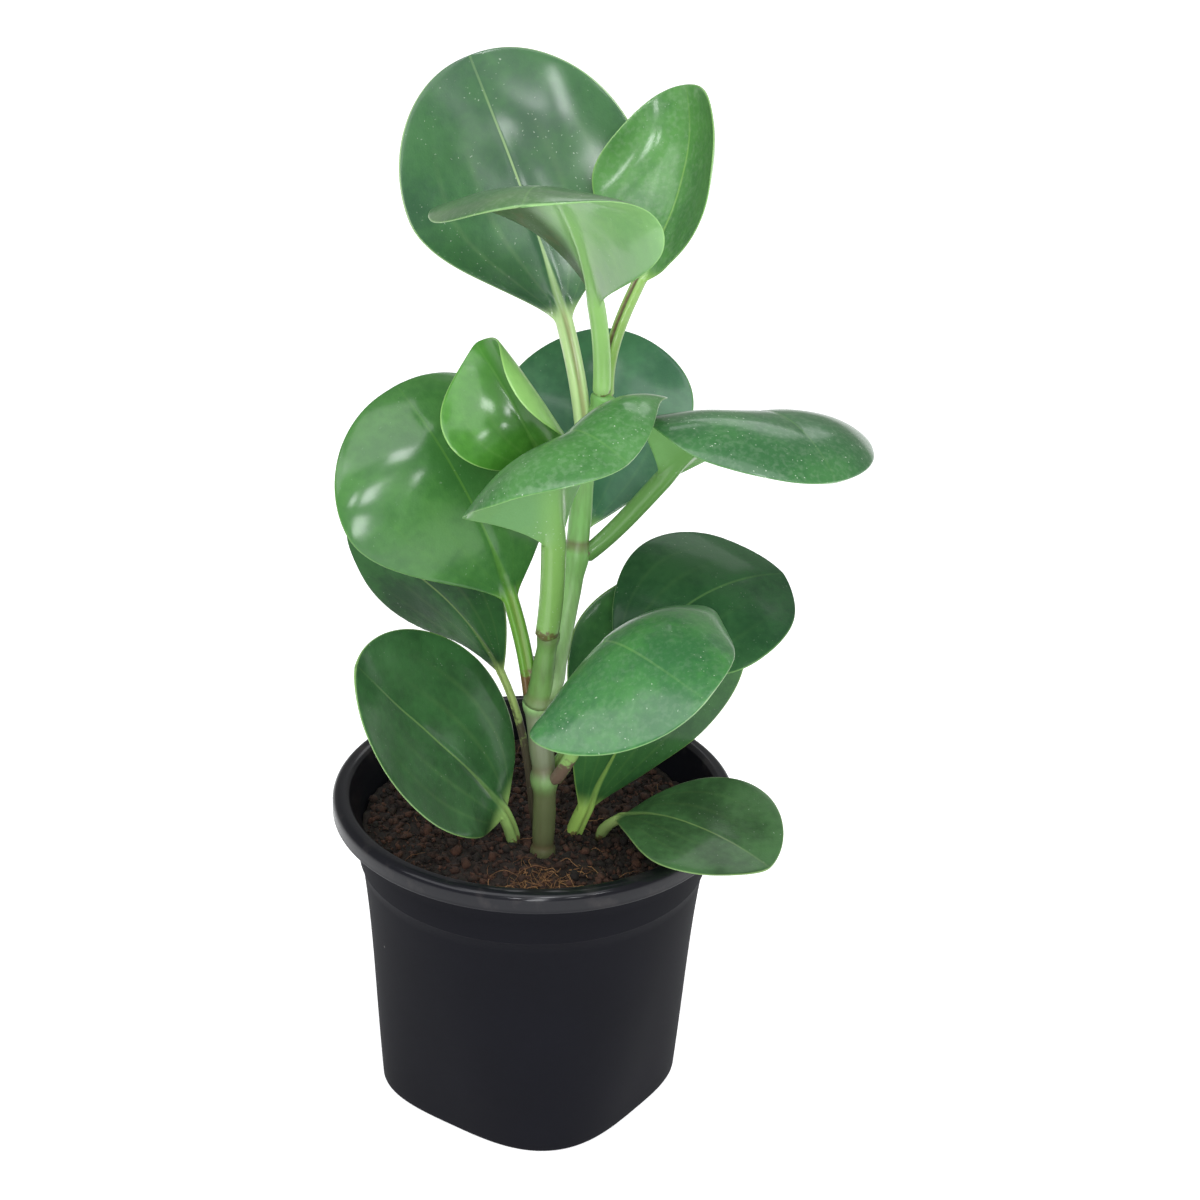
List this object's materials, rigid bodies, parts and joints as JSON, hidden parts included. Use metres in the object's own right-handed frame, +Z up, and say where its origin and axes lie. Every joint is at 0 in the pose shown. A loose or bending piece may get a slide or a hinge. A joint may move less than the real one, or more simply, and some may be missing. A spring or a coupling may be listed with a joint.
{
  "type": "potted peperomia",
  "caption": "Potted peperomia: a jointed stem with thick round leaves and single-leaf cuttings, standing in the soil of a black nursery pot that is round above and squared below.",
  "frame": {"origin": "middle of the pot's flat base, on the surface that the pot stands on", "axes": "+Z up the plant, -Y towards the front of the picture, +X to its right"},
  "size_m": [0.1645, 0.1523, 0.3404],
  "materials": {
    "pot_plastic": "black injection-moulded polypropylene, satin body and glossy rim",
    "soil_peat": "moist dark peat crumbs with coir fibres, matte",
    "stem_tissue": "smooth fleshy green stem with purple-grey internodes and brown rings, satin",
    "leaf_tissue": "thick leathery green leaf with a waxy gloss, paler below, thin pale margin and midrib",
    "young_leaf_tissue": "young bright yellow-green leaf, glossy"
  },
  "bodies": {
    "root": {"pot": "pot_plastic", "soil": "soil_peat", "stem": "stem_tissue", "leaf_top": "leaf_tissue", "leaf_top_right": "leaf_tissue", "leaf_top_front": "leaf_tissue", "leaf_young": "young_leaf_tissue", "leaf_front_middle": "leaf_tissue", "leaf_right": "leaf_tissue", "leaf_back": "leaf_tissue", "leaf_left": "leaf_tissue", "leaf_right_middle": "leaf_tissue", "leaf_right_front": "leaf_tissue", "leaf_left_dark": "leaf_tissue", "leaf_lower_left": "leaf_tissue", "leaf_tall_right": "leaf_tissue", "leaf_lower_right": "leaf_tissue"}
  },
  "joints": []
}
